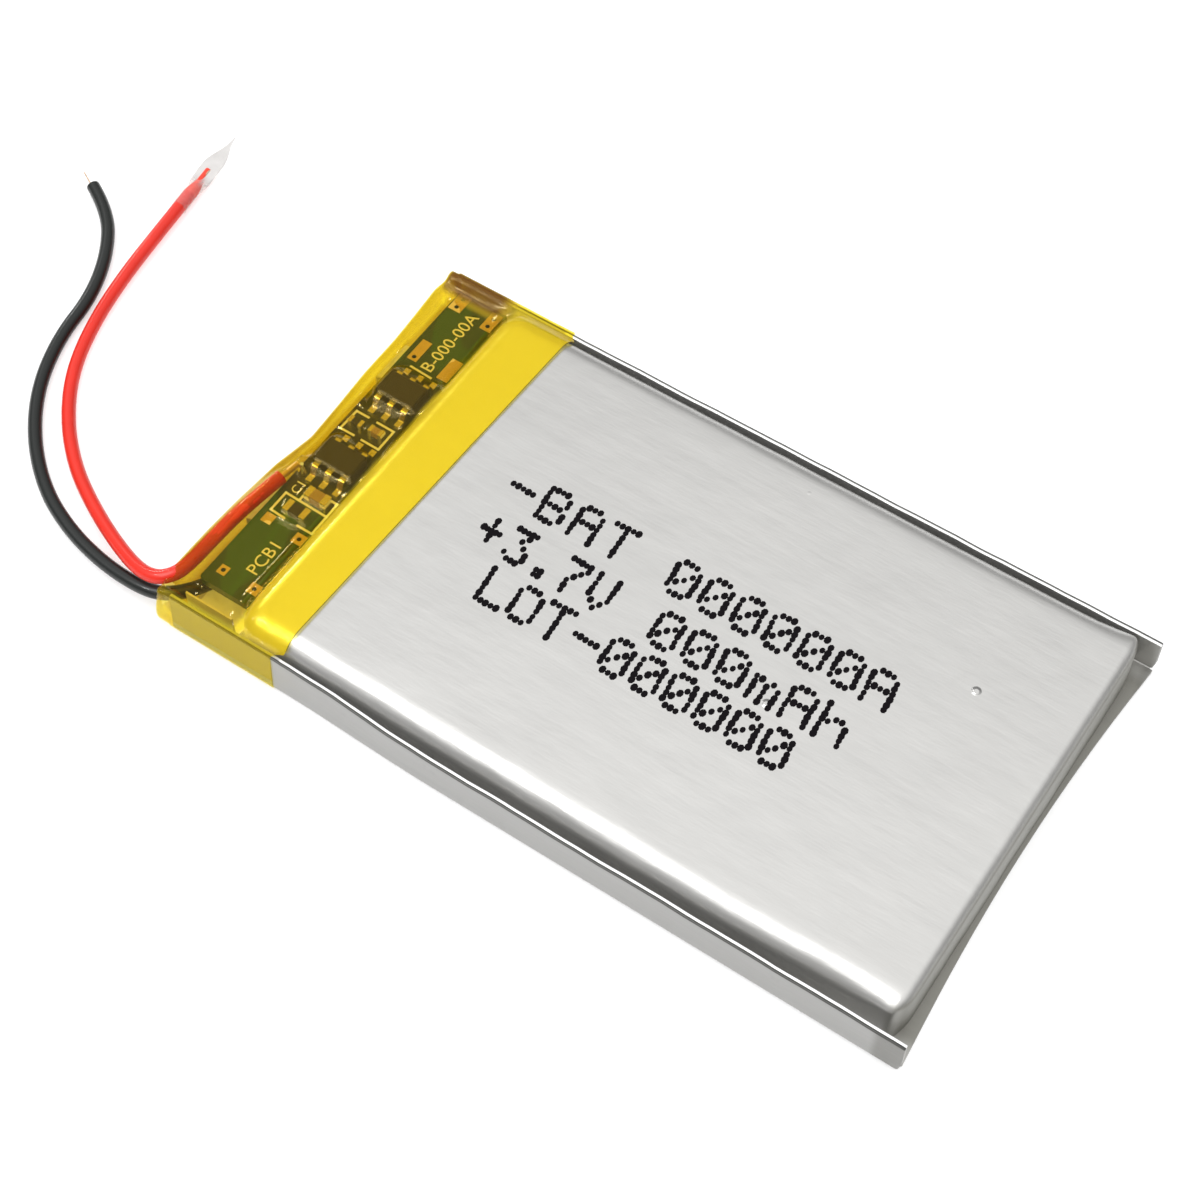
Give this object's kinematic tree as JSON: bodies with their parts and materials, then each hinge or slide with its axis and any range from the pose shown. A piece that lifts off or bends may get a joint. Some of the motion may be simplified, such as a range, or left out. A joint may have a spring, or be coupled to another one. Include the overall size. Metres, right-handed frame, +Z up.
{
  "type": "lithium polymer pouch cell",
  "caption": "Flat rechargeable pouch cell with folded side seals, a protection board under amber film at its head and two thin bare leads.",
  "frame": {"origin": "middle of the cell's underside, leads left out, on the surface it lies on", "axes": "+X from the head with the protection board to the tail, +Y across the cell from the side the leads leave by, +Z up through the thin way"},
  "size_m": [0.0772, 0.0328, 0.004],
  "materials": {
    "laminate": "satin nylon over aluminium laminate",
    "amber_film": "glossy translucent amber polyimide film",
    "cathode": "matt black cathode coating on foil",
    "anode": "matt graphite coating on foil",
    "separator": "white porous film",
    "green_tape": "glossy green polyester film",
    "aluminium_tab": "bright rolled",
    "nickel": "bright rolled nickel",
    "sealant": "satin heat-seal film",
    "barley_paper": "matt insulating paper",
    "foam": "matt closed-cell foam",
    "board": "glossy green solder mask",
    "pad_gold": "tinned gold",
    "chip_black": "matt moulded epoxy",
    "tin": "bright tin",
    "resistor_black": "satin glaze",
    "capacitor_tan": "satin ceramic",
    "red_insulation": "satin red insulation",
    "black_insulation": "satin black insulation",
    "tinned_copper": "tinned copper strands",
    "solder": "bright solder",
    "clear_film": "translucent whitish film"
  },
  "bodies": {
    "cell": {"anode_winding": "anode", "black_lead": "black_insulation", "black_lead_core": "tinned_copper", "black_solder_joint": "solder", "board_pads": "pad_gold", "capacitors": "capacitor_tan", "cathode_winding": "cathode", "chip_end_caps": "tin", "circuit_board": "board", "foam_pad": "foam", "head_tape": "amber_film", "mosfet_body": "chip_black", "mosfet_leads": "tin", "negative_nickel_strip": "nickel", "negative_tab": "nickel", "negative_tab_sealant": "sealant", "positive_nickel_strip": "nickel", "positive_tab": "aluminium_tab", "positive_tab_sealant": "sealant", "pouch_cup_half": "laminate", "pouch_flat_half": "laminate", "protection_ic_body": "chip_black", "protection_ic_leads": "tin", "red_lead": "red_insulation", "red_lead_core": "tinned_copper", "red_solder_joint": "solder", "resistors": "resistor_black", "separator_inner": "separator", "separator_outer": "separator", "terrace_paper": "barley_paper", "winding_tape": "green_tape"},
    "cover": {"tip_cover": "clear_film"}
  },
  "joints": [
    {"name": "tip_cover_pull", "type": "slide", "parent": "cell", "child": "cover", "axis": [-0.1216, 0.9926, 0], "range_m": [0, 0.006]}
  ]
}
